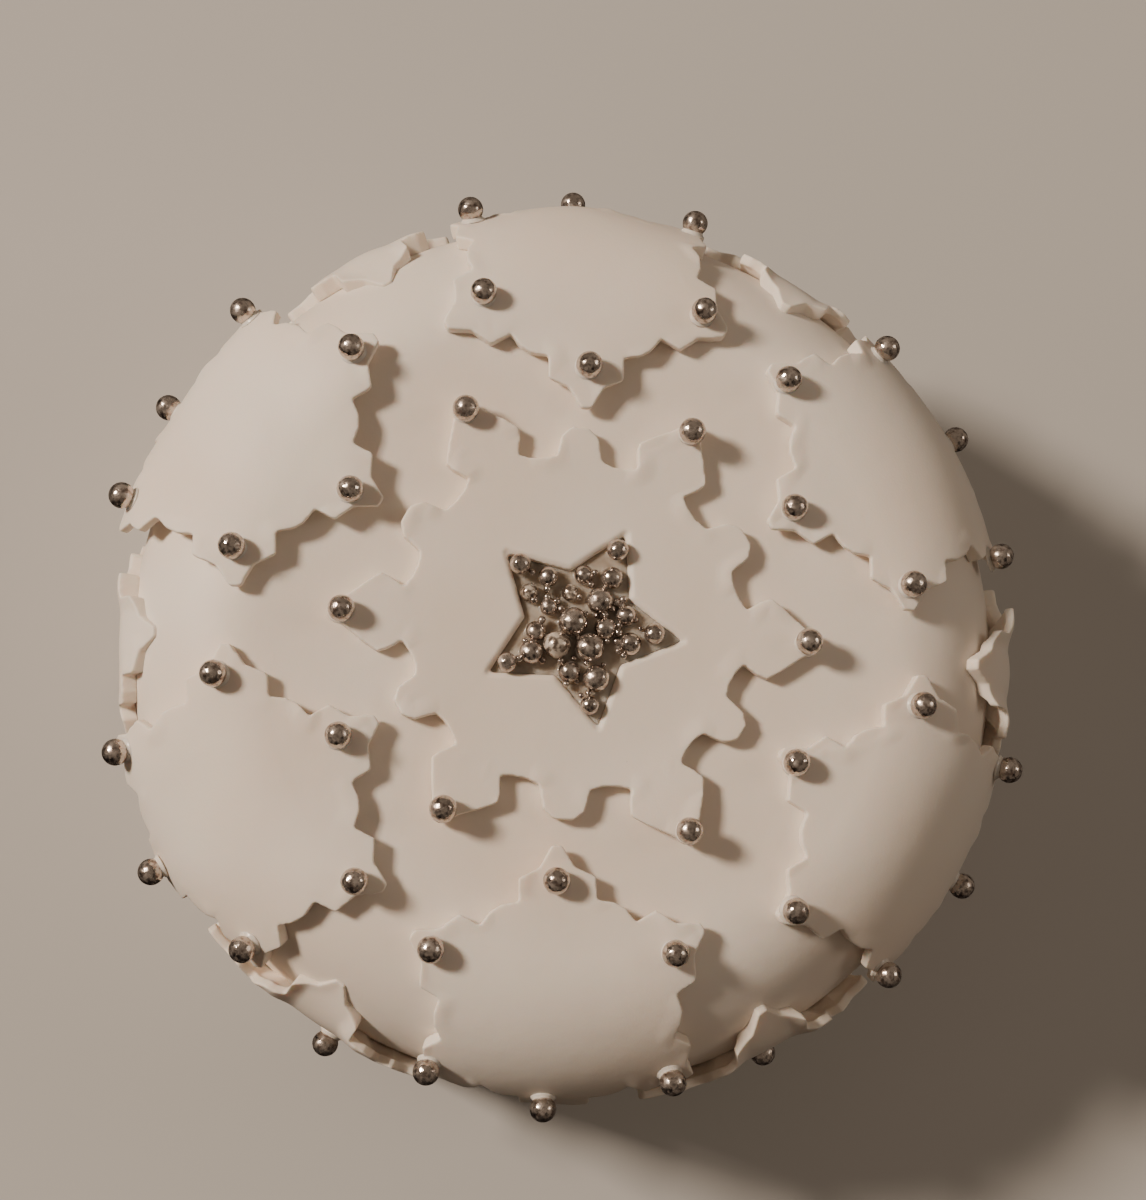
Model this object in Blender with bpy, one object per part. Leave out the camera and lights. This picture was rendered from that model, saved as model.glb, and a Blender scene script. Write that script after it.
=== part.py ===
"""A round christmas cake under white sugar paste, with sugar paste snowflakes and silver balls.

One large snowflake lies in the middle of the top, and the star cut out of it is filled with silver balls.
Six snowflakes hang over the rim. Between them six more stand against the side and lean on the shoulder.
The origin is the middle of the base, +Z is up, and lengths are in metres.
"""

import math

import bmesh
import bpy
from mathutils import Vector
from mathutils.geometry import intersect_point_line

MM = 0.001

# The cake: an iced cylinder whose upper edge is one wide round shoulder.
CAKE_RADIUS = 104.2 * MM
CAKE_HEIGHT = 87.2 * MM
SHOULDER = 30.2 * MM
FLAT_RADIUS = CAKE_RADIUS - SHOULDER
FOOT_BEVEL = 1.5 * MM
CAKE_SEGMENTS = 72
SHOULDER_STEPS = 8

# The sugar paste sheet that the snowflakes are cut from.
SHEET = 2.8 * MM
GAP = 0.3 * MM
RIM_SLACK = 1.5 * MM
RIM_GAP = 0.4 * MM
SIDE_GAP = 0.5 * MM

# Two cutters made the snowflakes: a large one for the middle, and a small one for the rim and the side.
CENTRE_REACH = 53.7 * MM
SMALL_REACH = 38.0 * MM
CENTRE_PLACE = (-1.4 * MM, 2.1 * MM)
CENTRE_TURN = 57.1
ARMS = 6

# Half an arm, from its tip to the middle of the bay beside it: degrees off the arm, and share of the reach.
LARGE_HALF_ARM = (
    (1.8, 1.055),
    (8.2, 0.912),
    (11.7, 0.85),
    (9.1, 0.745),
    (17.6, 0.71),
    (21.9, 0.72),
    (24.1, 0.812),
    (27.4, 0.85),
)
SMALL_HALF_ARM = (
    (1.7, 1.0),
    (6.9, 0.876),
    (16.0, 0.842),
    (19.1, 0.711),
    (27.0, 0.737),
)

# The six snowflakes on the rim: name, bearing, path from the middle of the top, and turn.
RIM_FLAKES = (
    ("rim_flake_1", 88.8, 89.9, 0.7),
    ("rim_flake_2", 149.2, 92.0, 2.3),
    ("rim_flake_3", 208.3, 88.3, 5.2),
    ("rim_flake_4", 267.1, 87.2, 4.1),
    ("rim_flake_5", 329.1, 91.9, -0.5),
    ("rim_flake_6", 29.4, 88.9, -0.3),
)
# Arm by arm, from the outward arm and on anticlockwise: how far out the ball sits in millimetres, how many
# degrees it sits off the arm's own line, and how many millimetres the arm's tip is lifted off the cake.
RIM_BALL_REACHES = (
    (36.0, 32.5, 26.8, 28.2, 31.0, 35.1),
    (35.6, 30.3, 29.4, 30.6, 31.6, 32.7),
    (29.5, 30.6, 31.3, 28.6, 31.3, 32.2),
    (25.0, 31.5, 29.3, 29.9, 32.6, 32.4),
    (31.0, 32.6, 30.8, 33.8, 34.3, 32.1),
    (32.1, 28.8, 32.7, 31.2, 32.3, 34.8),
)
RIM_BALL_SWAYS = (
    (-0.1, -3.2, -3.4, 0.7, 1.0, 1.8),
    (-3.9, -4.1, 0.1, -2.6, -0.6, -0.5),
    (-2.1, 0.0, -2.6, 2.9, 3.5, -0.2),
    (-6.3, -0.9, -2.4, 0.8, 0.6, -6.7),
    (2.2, 3.0, 1.8, 1.1, -1.0, -4.5),
    (-1.9, 2.0, 2.1, -1.2, -0.1, -8.3),
)
RIM_LIFTS = (
    (2, 0, 0, 2, 1, 0),
    (2, 3, 1, 2, 2, 3),
    (1, 0, 1, 1, 0, 2),
    (0, 0, 1, 1, 0, 0),
    (1, 1, 0, 0, 0, 1),
    (0, 0, 0, 1, 1, 0),
)
LIFT_START = 9 * MM
LIFT_FULL = 30 * MM
CUT_SNAP = 0.15 * MM
RIM_CUT = 7 * MM
RIM_CUT_ACROSS = 11 * MM

# The six snowflakes on the side: name, bearing, and how many millimetres lower than the others it sits. Then
# come pairs for the clockwise and the anticlockwise side of the top arm: how many millimetres the free edge
# stands off the shoulder, and how much of the next arm is left before the snowflake on the rim covers it.
# Last is where a ball sits, if there is one: millimetres below the middle, and anticlockwise of it.
SIDE_FLAKES = (
    ("side_flake_1", 118.0, 2.5, (2.6, 2.4), (0.66, 0.66), None),
    ("side_flake_2", 179.8, 5.5, (2.6, 1.4), (0.66, 0.83), None),
    ("side_flake_3", 236.2, 4.0, (2.6, 2.2), (0.96, 0.90), (-4.0, 5.0)),
    ("side_flake_4", 296.6, 3.5, (2.4, 3.0), (0.96, 0.86), (5.0, 1.5)),
    ("side_flake_5", 356.6, 0.5, (3.0, 3.6), (0.78, 0.66), None),
    ("side_flake_6", 57.8, 2.0, (1.2, 1.0), (0.72, 0.74), None),
)
SIDE_MIDDLE = 132.5 * MM
STAND_START = 9 * MM
STAND_FULL = 28 * MM
ARM_EDGE = 5 * MM
FREE_EDGE = 12 * MM
SIDE_BEND_END = -8 * MM
SIDE_CUT = 6.5 * MM
SIDE_CUT_ACROSS = 8.5 * MM
TUCK_START = 34
TUCK_FULL = 44
TUCK_EASE = 76
TUCK_END = 100

# The star cut out of the middle of the large snowflake.
STAR_PLACE = (0.3 * MM, 1.3 * MM)
STAR_TIP = 23.7 * MM
STAR_CORNER = 12.9 * MM
STAR_TURN = 63.7
STAR_POINTS = 5
STAR_TIP_INSET = 1.4 * MM
STAR_CORNER_INSET = 0.7 * MM
GLAZE_DEPTH = 1.2 * MM
WALL_PASSES = 4

# Silver balls.
BALL_RADIUS = 3.1 * MM
BALL_SINK = 0.9 * MM
BALL_RISE = 0.15 * MM
BALL_SIDES = 8
BALL_RINGS = 4

# Balls in the star: place from the star's middle, and radius, in millimetres.
STAR_BALLS = (
    (-14.1, 13.8, 2.3), (-7.6, 11.1, 2.35), (0.9, 11.7, 2.2), (8.1, 17.4, 2.4), (6.9, 10.9, 2.55),
    (-12.0, 7.4, 2.0), (-2.5, 7.4, 2.0), (4.4, 5.2, 3.2), (-7.6, 3.9, 2.0), (10.3, 2.5, 2.5),
    (-1.9, 0.7, 3.4), (-10.6, -1.4, 2.25), (5.4, -1.0, 2.6), (16.8, -2.0, 2.3), (11.0, -4.4, 2.8),
    (-11.5, -6.4, 2.75), (-5.6, -4.8, 3.15), (1.5, -5.6, 3.35), (-17.0, -8.9, 2.2), (-3.0, -11.3, 2.5),
    (3.3, -11.9, 3.1), (2.2, -18.4, 2.1),
)

ICING_COLOUR = (0.80, 0.75, 0.68, 1)
SILVER_COLOUR = (0.78, 0.76, 0.73, 1)
GLAZE_COLOUR = (0.72, 0.66, 0.58, 1)


def clear_scene():
    for old in list(bpy.data.objects):
        bpy.data.objects.remove(old, do_unlink=True)


def make_material(name, colour, roughness, metallic):
    material = bpy.data.materials.new(name)
    material.use_nodes = True
    shader = material.node_tree.nodes["Principled BSDF"]
    shader.inputs["Base Color"].default_value = colour
    shader.inputs["Roughness"].default_value = roughness
    shader.inputs["Metallic"].default_value = metallic
    return material


def make_object(name, bm, material):
    """Turn a finished bmesh into a smooth-shaded object whose faces point outward."""
    bmesh.ops.recalc_face_normals(bm, faces=bm.faces)
    mesh = bpy.data.meshes.new(name)
    bm.to_mesh(mesh)
    bm.free()
    mesh.shade_smooth()
    mesh.set_sharp_from_angle(angle=math.radians(40))
    mesh.materials.append(material)
    obj = bpy.data.objects.new(name, mesh)
    bpy.context.scene.collection.objects.link(obj)
    return obj


def smooth_step(value, start, end):
    share = min(max((value - start) / (end - start), 0.0), 1.0)
    return share * share * (3 - 2 * share)


def surface_at(path, slack, lift):
    """Radius, height and slope of a sheet that lies over the cake, at a path from the middle of the top.

    slack widens the bend at the shoulder, and lift is the sheet's own height above the cake.
    The slope is 0 on the flat top and a quarter turn on the upright side.
    """
    bend = SHOULDER + slack
    top = CAKE_HEIGHT + lift
    quarter = bend * math.pi / 2
    if path <= FLAT_RADIUS:
        return path, top, 0.0
    if path <= FLAT_RADIUS + quarter:
        slope = (path - FLAT_RADIUS) / bend
        return FLAT_RADIUS + bend * math.sin(slope), top - bend * (1 - math.cos(slope)), slope
    return FLAT_RADIUS + bend, top - bend - (path - FLAT_RADIUS - quarter), math.pi / 2


def point_on(bearing, radius, height, slope, offset):
    """A point at a bearing, moved by an offset square to the surface."""
    reach = radius + offset * math.sin(slope)
    return (
        reach * math.cos(bearing),
        reach * math.sin(bearing),
        height + offset * math.cos(slope),
    )


def between_arms(values, angle):
    """The value at an angle of what is given arm by arm, eased from each arm to the next."""
    place = angle % math.tau / (math.tau / ARMS)
    arm = int(place)
    own = values[arm % ARMS]
    after = values[(arm + 1) % ARMS]
    return own + (after - own) * smooth_step(place, arm, arm + 1)


def flake_outline(half_arm, reach, turn, left_over=(1, 1)):
    """The flat outline of a snowflake, from half an arm that is mirrored and repeated.

    left_over is how much is left of the arms beside the one at a half turn, clockwise and anticlockwise of it.
    """
    points = []
    mirrored = [(-degrees, share) for degrees, share in reversed(half_arm)]
    for arm in range(ARMS):
        for degrees, share in mirrored + list(half_arm):
            angle = arm * 360 / ARMS + degrees
            apart = abs(angle - 180)
            covered = smooth_step(apart, TUCK_START, TUCK_FULL) - smooth_step(apart, TUCK_EASE, TUCK_END)
            length = share * reach * (1 - covered * (1 - left_over[angle < 180]))
            heading = math.radians(angle + turn)
            points.append((length * math.cos(heading), length * math.sin(heading)))
    return points


def star_outline(tip, corner):
    points = []
    for index in range(STAR_POINTS * 2):
        angle = math.radians(STAR_TURN) + index * math.pi / STAR_POINTS
        length = corner if index % 2 else tip
        points.append((STAR_PLACE[0] + length * math.cos(angle),
                       STAR_PLACE[1] + length * math.sin(angle)))
    return points


def clear_of_walls(place, radius, walls):
    """Move a ball's place away from the star's walls, until the ball just clears them."""
    spot = Vector(place)
    for _ in range(WALL_PASSES):
        for start, end in zip(walls, walls[1:] + walls[:1]):
            nearest, share = intersect_point_line(spot, Vector(start), Vector(end))
            if not 0 <= share <= 1:
                nearest = Vector(start) if share < 0 else Vector(end)
            away = spot.to_2d() - nearest.to_2d()
            if away.length < radius + GAP:
                spot = nearest.to_2d() + away.normalized() * (radius + GAP)
    return spot


def add_loop(bm, points):
    verts = [bm.verts.new((x, y, 0)) for x, y in points]
    return [bm.edges.new((verts[i - 1], verts[i])) for i in range(len(verts))]


def cut_across(bm, axis, places):
    """Cut the flat sheet along straight lines square to an axis, so that it can bend there."""
    normal = (1, 0, 0) if axis == 0 else (0, 1, 0)
    for place in places:
        point = (place, 0, 0) if axis == 0 else (0, place, 0)
        geometry = bm.verts[:] + bm.edges[:] + bm.faces[:]
        bmesh.ops.bisect_plane(bm, geom=geometry, plane_co=point, plane_no=normal, dist=CUT_SNAP)


def thicken(bm, place):
    """Give the flat sheet its second face, and carry both faces to their place on the cake.

    place takes a point of the flat sheet and its height in the sheet, and gives the point on the cake.
    """
    bmesh.ops.triangulate(bm, faces=bm.faces[:])
    grown = bmesh.ops.extrude_face_region(bm, geom=bm.faces[:])
    upper = {item for item in grown["geom"] if isinstance(item, bmesh.types.BMVert)}
    for vert in bm.verts:
        vert.co = place(vert.co.x, vert.co.y, SHEET if vert in upper else 0.0)


def add_ball(middle, radius):
    """A loose silver ball, kept in a list until it is joined to the sheet that it sits on."""
    bm = bmesh.new()
    bmesh.ops.create_uvsphere(bm, u_segments=BALL_SIDES, v_segments=BALL_RINGS, radius=radius)
    bmesh.ops.translate(bm, vec=middle, verts=bm.verts[:])
    mesh = bpy.data.meshes.new("ball")
    bm.to_mesh(mesh)
    bm.free()
    return bpy.data.objects.new("ball", mesh)


def join_balls(obj, balls, material):
    """Join the balls to their sheet with one Boolean union, and remove the loose ones."""
    group = bpy.data.collections.new("balls")
    bpy.context.scene.collection.children.link(group)
    for ball in balls:
        ball.data.materials.append(material)
        group.objects.link(ball)
    union = obj.modifiers.new("balls", "BOOLEAN")
    union.operation = "UNION"
    union.operand_type = "COLLECTION"
    union.collection = group
    union.solver = "EXACT"
    union.material_mode = "TRANSFER"
    bpy.context.view_layer.update()
    joined = bpy.data.meshes.new_from_object(obj.evaluated_get(bpy.context.evaluated_depsgraph_get()))
    obj.modifiers.clear()
    obj.data = joined
    for ball in balls:
        bpy.data.objects.remove(ball, do_unlink=True)
    bpy.data.collections.remove(group)


def build_cake(icing):
    """The uncut cake under its icing: a turned solid with a flat foot and a round shoulder."""
    profile = [(0.0, 0.0), (CAKE_RADIUS - FOOT_BEVEL, 0.0), (CAKE_RADIUS, FOOT_BEVEL)]
    for step in range(SHOULDER_STEPS + 1):
        angle = step / SHOULDER_STEPS * math.pi / 2
        profile.append((FLAT_RADIUS + SHOULDER * math.cos(angle),
                        CAKE_HEIGHT - SHOULDER + SHOULDER * math.sin(angle)))
    profile.append((0.0, CAKE_HEIGHT))
    bm = bmesh.new()
    verts = [bm.verts.new((radius, 0, height)) for radius, height in profile]
    edges = [bm.edges.new(pair) for pair in zip(verts, verts[1:])]
    bmesh.ops.spin(bm, geom=verts + edges, cent=(0, 0, 0), axis=(0, 0, 1), angle=math.tau,
                   steps=CAKE_SEGMENTS, use_merge=True)
    bmesh.ops.remove_doubles(bm, verts=bm.verts[:], dist=0.01 * MM)
    bmesh.ops.dissolve_limit(bm, angle_limit=math.radians(0.1), verts=bm.verts[:], edges=bm.edges[:])
    return make_object("cake", bm, icing)


def build_centre_flake(icing, silver):
    """The large snowflake on the flat top, with its star-shaped hole and a ball near each tip."""
    bm = bmesh.new()
    outline = flake_outline(LARGE_HALF_ARM, CENTRE_REACH, CENTRE_TURN)
    loop = add_loop(bm, [(x + CENTRE_PLACE[0], y + CENTRE_PLACE[1]) for x, y in outline])
    loop += add_loop(bm, star_outline(STAR_TIP, STAR_CORNER))
    bmesh.ops.triangle_fill(bm, edges=loop, use_beauty=True)
    floor = CAKE_HEIGHT + GAP
    thicken(bm, lambda x, y, height: (x, y, floor + height))
    obj = make_object("centre_flake", bm, icing)
    balls = []
    for arm in range(ARMS):
        angle = math.radians(CENTRE_TURN) + arm * math.tau / ARMS
        balls.append(add_ball((CENTRE_PLACE[0] + CENTRE_REACH * math.cos(angle),
                               CENTRE_PLACE[1] + CENTRE_REACH * math.sin(angle),
                               floor + SHEET + BALL_RADIUS - BALL_SINK), BALL_RADIUS))
    join_balls(obj, balls, silver)


def build_star_filling(glaze, silver):
    """The clear glaze in the star, with the balls that stand in it."""
    bm = bmesh.new()
    loop = add_loop(bm, star_outline(STAR_TIP - STAR_TIP_INSET, STAR_CORNER - STAR_CORNER_INSET))
    bmesh.ops.triangle_fill(bm, edges=loop, use_beauty=True)
    floor = CAKE_HEIGHT + GAP
    depth = GLAZE_DEPTH / SHEET
    thicken(bm, lambda x, y, height: (x, y, floor + height * depth))
    obj = make_object("star_filling", bm, glaze)
    walls = star_outline(STAR_TIP, STAR_CORNER)
    balls = []
    for x, y, radius in STAR_BALLS:
        size = radius * MM
        spot = clear_of_walls((STAR_PLACE[0] + x * MM, STAR_PLACE[1] + y * MM), size, walls)
        balls.append(add_ball((spot.x, spot.y, floor + size + BALL_RISE), size))
    join_balls(obj, balls, silver)


def build_rim_flake(flake, reaches, sways, lifts, icing, silver):
    """A snowflake that lies half on the top and bends down over the shoulder."""
    name, bearing, distance, turn = flake
    middle = distance * MM
    heading = math.radians(bearing)
    own_turn = math.radians(turn)

    def place(x, y, height):
        path = math.hypot(middle + x, y)
        radius, level, slope = surface_at(path, RIM_SLACK, RIM_GAP)
        lift = between_arms(lifts, math.atan2(y, x) - own_turn) * MM
        offset = height + lift * smooth_step(math.hypot(x, y), LIFT_START, LIFT_FULL)
        return point_on(heading + math.atan2(y, middle + x), radius, level, slope, offset)

    bm = bmesh.new()
    bmesh.ops.contextual_create(bm, geom=add_loop(bm, flake_outline(SMALL_HALF_ARM, SMALL_REACH, turn)))
    bends = int((SMALL_REACH + middle - FLAT_RADIUS) / RIM_CUT)
    cut_across(bm, 0, [FLAT_RADIUS - middle + RIM_CUT * step for step in range(bends)])
    cut_across(bm, 1, [RIM_CUT_ACROSS * step for step in (-2, -1, 0, 1, 2)])
    thicken(bm, place)
    obj = make_object(name, bm, icing)
    balls = []
    for arm, (reach, sway) in enumerate(zip(reaches, sways)):
        angle = own_turn + arm * math.tau / ARMS + math.radians(sway)
        balls.append(add_ball(place(reach * MM * math.cos(angle), reach * MM * math.sin(angle),
                                    SHEET + BALL_RADIUS - BALL_SINK), BALL_RADIUS))
    join_balls(obj, balls, silver)


def build_side_flake(flake, icing, silver):
    """A snowflake on the upright side. Its top arm leans on the shoulder, the lobes beside it stand free."""
    name, bearing, drop, stands, left_over, ball_place = flake
    heading = math.radians(bearing)

    def place(x, y, height):
        path = SIDE_MIDDLE + drop * MM + x
        radius, level, slope = surface_at(path, 0.0, 0.0)
        free = stands[y > 0]
        stand = smooth_step(-x, STAND_START, STAND_FULL) * smooth_step(abs(y), ARM_EDGE, FREE_EDGE)
        offset = SIDE_GAP + free * MM * stand + height
        return point_on(heading + y / radius, radius, level, slope, offset)

    bm = bmesh.new()
    outline = flake_outline(SMALL_HALF_ARM, SMALL_REACH, 0, left_over)
    bmesh.ops.contextual_create(bm, geom=add_loop(bm, outline))
    cut_across(bm, 0, [SIDE_BEND_END - SIDE_CUT * step for step in range(5)])
    cut_across(bm, 1, [SIDE_CUT_ACROSS * step for step in range(-4, 5)])
    thicken(bm, place)
    obj = make_object(name, bm, icing)
    if ball_place is not None:
        middle = place(ball_place[0] * MM, ball_place[1] * MM, SHEET + BALL_RADIUS - BALL_SINK)
        join_balls(obj, [add_ball(middle, BALL_RADIUS)], silver)


def main():
    clear_scene()
    icing = make_material("icing", ICING_COLOUR, 0.6, 0.0)
    silver = make_material("silver", SILVER_COLOUR, 0.15, 1.0)
    glaze = make_material("glaze", GLAZE_COLOUR, 0.1, 0.0)
    build_cake(icing)
    build_centre_flake(icing, silver)
    build_star_filling(glaze, silver)
    for flake, reaches, sways, lifts in zip(RIM_FLAKES, RIM_BALL_REACHES, RIM_BALL_SWAYS, RIM_LIFTS):
        build_rim_flake(flake, reaches, sways, lifts, icing, silver)
    for flake in SIDE_FLAKES:
        build_side_flake(flake, icing, silver)


main()
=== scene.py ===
# %% [markdown]
# # A christmas cake with sugar paste snowflakes
#
# The cake is a round fruit cake under rolled white sugar paste. Snowflakes cut from a thin sheet of the
# same paste lie on its top, over its rim and against its side, and silver sugar balls are stuck to their
# tips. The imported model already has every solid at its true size. This script keeps those places and gives
# the cake its fine surfaces: soft cut edges, balls under silver leaf, glaze, and paste that takes light
# softly. Lengths are in metres. Tables and ranges of small lengths are in millimetres, and are multiplied by
# MM where they are used.

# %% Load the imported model
import math
import random

import bmesh
import bpy
import numpy as np
from mathutils import Matrix, Vector


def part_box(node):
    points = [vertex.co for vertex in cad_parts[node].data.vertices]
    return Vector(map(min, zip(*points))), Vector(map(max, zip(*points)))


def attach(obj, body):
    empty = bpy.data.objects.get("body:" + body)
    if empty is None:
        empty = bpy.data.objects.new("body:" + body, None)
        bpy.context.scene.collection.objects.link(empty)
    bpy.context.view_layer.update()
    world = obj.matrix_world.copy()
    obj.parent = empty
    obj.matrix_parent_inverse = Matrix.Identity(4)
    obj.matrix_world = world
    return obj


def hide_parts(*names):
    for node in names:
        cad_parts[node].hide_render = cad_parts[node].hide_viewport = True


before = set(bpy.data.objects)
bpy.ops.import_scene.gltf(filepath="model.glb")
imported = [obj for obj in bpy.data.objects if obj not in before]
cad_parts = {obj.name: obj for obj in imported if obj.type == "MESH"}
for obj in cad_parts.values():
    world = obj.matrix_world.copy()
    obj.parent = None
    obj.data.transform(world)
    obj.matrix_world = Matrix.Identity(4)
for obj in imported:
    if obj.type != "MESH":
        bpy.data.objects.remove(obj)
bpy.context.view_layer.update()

MM = 0.001
print("nodes in the packed model:", len(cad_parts))

# %% [markdown]
# ## Where the paste lies
#
# Every sheet on this cake is flat paste that was laid over a round shoulder. So one function says where a
# point of a flat sheet ends up: it walks along the cake from the middle of the top, straight on the flat,
# round the shoulder and then down the side. Working on whole arrays at once keeps that quick.

# %% The cake's measures, and the walk over its surface
_, cake_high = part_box("cake")
CAKE_RADIUS = cake_high.x
CAKE_HEIGHT = cake_high.z
SHOULDER = 30.2 * MM
FLAT_RADIUS = CAKE_RADIUS - SHOULDER
QUARTER = math.pi / 2
BROAD_SWELL = 0.16 * MM
FINE_SWELL = 0.05 * MM


def smooth_step(value, start, end):
    share = np.clip((value - start) / (end - start), 0.0, 1.0)
    return share * share * (3 - 2 * share)


def over_cake(path, slack=0.0):
    """Radius, height and slope of the surface, at a path from the middle of the top."""
    bend = SHOULDER + slack
    slope = np.clip((path - FLAT_RADIUS) / bend, 0.0, QUARTER)
    radius = np.minimum(path, FLAT_RADIUS) + bend * np.sin(slope)
    down_the_side = np.maximum(path - FLAT_RADIUS - bend * QUARTER, 0.0)
    height = CAKE_HEIGHT - bend * (1 - np.cos(slope)) - down_the_side
    return radius, height, slope


def hand_rolled(points):
    """How far the paste swells out or dips in, as a rolling pin and a smoothing hand leave it.

    The broad waves are about 11 cm long and the fine ones about 4 cm, at odd angles to each other.
    """
    x, y, z = points.T
    broad = np.sin(61 * x + 1.9) * np.sin(53 * y - 0.7) + 0.8 * np.sin(47 * (x + y) + 70 * z)
    fine = np.sin(131 * x - 97 * y + 0.4) + np.sin(118 * y + 83 * x + 90 * z + 2.1)
    return BROAD_SWELL * broad + FINE_SWELL * fine


def points_on(bearing, path, offset, slack=0.0):
    """Points at a bearing and a path, each moved square to the surface by its offset."""
    radius, height, slope = over_cake(path, slack)
    ahead, aside = np.cos(bearing), np.sin(bearing)
    out = np.stack([np.sin(slope) * ahead, np.sin(slope) * aside, np.cos(slope)], axis=-1)
    foot = np.stack([radius * ahead, radius * aside, height], axis=-1)
    return foot + out * (offset + hand_rolled(foot))[..., None], out


print("cake:", round(CAKE_RADIUS / MM * 2), "mm across and", round(CAKE_HEIGHT / MM), "mm high")

# %% [markdown]
# ## Turning a shape into a piece
#
# A finished piece is an object at the origin whose place is in its mesh, and it rides on the cake's one
# body. Small helpers do that for every piece, so each later cell is only about its shape.

# %% Helpers that make objects and pieces
POLE_MERGE = 0.01 * MM


def mesh_from(name, bm):
    mesh = bpy.data.meshes.new(name)
    bm.to_mesh(mesh)
    bm.free()
    return mesh


def object_from(name, bm):
    obj = bpy.data.objects.new(name, mesh_from(name, bm))
    bpy.context.scene.collection.objects.link(obj)
    return obj


def spun(line, steps, closed=False):
    """A line of radius and height pairs, spun once round the Z axis into a skin."""
    bm = bmesh.new()
    verts = [bm.verts.new((radius, 0, height)) for radius, height in line]
    edges = [bm.edges.new(pair) for pair in zip(verts, verts[1:])]
    if closed:
        edges.append(bm.edges.new((verts[-1], verts[0])))
    bmesh.ops.spin(bm, geom=verts + edges, cent=(0, 0, 0), axis=(0, 0, 1), angle=math.tau, steps=steps,
                   use_merge=True)
    bmesh.ops.remove_doubles(bm, verts=bm.verts[:], dist=POLE_MERGE)
    bmesh.ops.recalc_face_normals(bm, faces=bm.faces[:])
    return bm


def apply_modifiers(obj):
    """Replace the object's mesh by what its modifiers make of it."""
    bpy.context.view_layer.update()
    made = bpy.data.meshes.new_from_object(obj.evaluated_get(bpy.context.evaluated_depsgraph_get()))
    obj.modifiers.clear()
    obj.data = made


def vertex_array(mesh):
    flat = np.empty(len(mesh.vertices) * 3)
    mesh.vertices.foreach_get("co", flat)
    return flat.reshape(-1, 3)


def set_vertices(mesh, points):
    mesh.vertices.foreach_set("co", points.astype(np.float32).ravel())
    mesh.update()


def finish_piece(obj, material, slot, *nodes):
    """Shade the piece smooth, give it its finish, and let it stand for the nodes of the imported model."""
    obj.data.materials.clear()
    obj.data.materials.append(material)
    obj.data.shade_smooth()
    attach(obj, "root")
    if nodes:
        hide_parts(*nodes)
    triangles = sum(len(face.vertices) - 2 for face in obj.data.polygons)
    print(obj.name, "has", triangles, "triangles")


print("piece helpers are ready")

# %% [markdown]
# ## Shader maths as plain expressions
#
# Finishes are built from shader nodes. Wrapping a socket in a small class lets Python's own signs add the
# Math nodes, so a mask reads like a formula. One method adds every other kind of node. The same helpers
# paint the room at the end, because a room is a tree of nodes too.

# %% A wire that can be calculated with, and a tree that nodes are added to
class Wire:
    """An output socket that adds a Math node when it is added, multiplied, or taken from a number."""

    def __init__(self, nodes, socket):
        self.nodes = nodes
        self.socket = socket

    def maths(self, operation, first, second):
        return self.nodes.node("ShaderNodeMath", {0: first, 1: second}, operation=operation)

    def __add__(self, other):
        return self.maths("ADD", self, other)

    def __radd__(self, other):
        return self.maths("ADD", other, self)

    def __rsub__(self, other):
        return self.maths("SUBTRACT", other, self)

    def __mul__(self, other):
        return self.maths("MULTIPLY", self, other)

    def __rmul__(self, other):
        return self.maths("MULTIPLY", other, self)


class Nodes:
    """The shader nodes of a material or a world, which start empty and grow node by node."""

    def __init__(self, owner):
        owner.use_nodes = True
        self.owner = owner
        self.tree = owner.node_tree
        self.tree.nodes.clear()

    def node(self, kind, values, output=0, **settings):
        """Add a node: first its settings, then its sockets' values or links, and give back one output."""
        made = self.tree.nodes.new(kind)
        for name, setting in settings.items():
            setattr(made, name, setting)
        for name, value in values.items():
            if isinstance(value, Wire):
                self.tree.links.new(value.socket, made.inputs[name])
            else:
                made.inputs[name].default_value = value
        return Wire(self, made.outputs[output]) if made.outputs else None

    def coordinates(self, kind):
        return self.node("ShaderNodeTexCoord", {}, output=kind)

    def noise(self, scale, detail=2.0, roughness=0.5, kind="Object"):
        """A soft grey noise whose features are about 1/scale of a metre apart."""
        place = self.coordinates(kind)
        values = {"Vector": place, "Scale": scale, "Detail": detail, "Roughness": roughness}
        return self.node("ShaderNodeTexNoise", values)

    def mask(self, value, low, high):
        """0 below low, 1 above high, and a straight ramp between them."""
        return self.node("ShaderNodeMapRange", {"Value": value, "From Min": low, "From Max": high})

    def blend(self, share, first, second):
        """A colour between two colours."""
        return self.node("ShaderNodeMix", {0: share, 6: first, 7: second}, output=2, data_type="RGBA")

    def bump(self, height, depth):
        """A bump whose height map is 0 to 1 for a real depth in metres."""
        return self.node("ShaderNodeBump", {"Height": height, "Distance": depth, "Strength": 1.0})

    def close(self, values):
        """Give the material one shader with these values."""
        shader = self.node("ShaderNodeBsdfPrincipled", values)
        self.node("ShaderNodeOutputMaterial", {"Surface": shader})
        return self.owner


print("shader helpers are ready")
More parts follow.
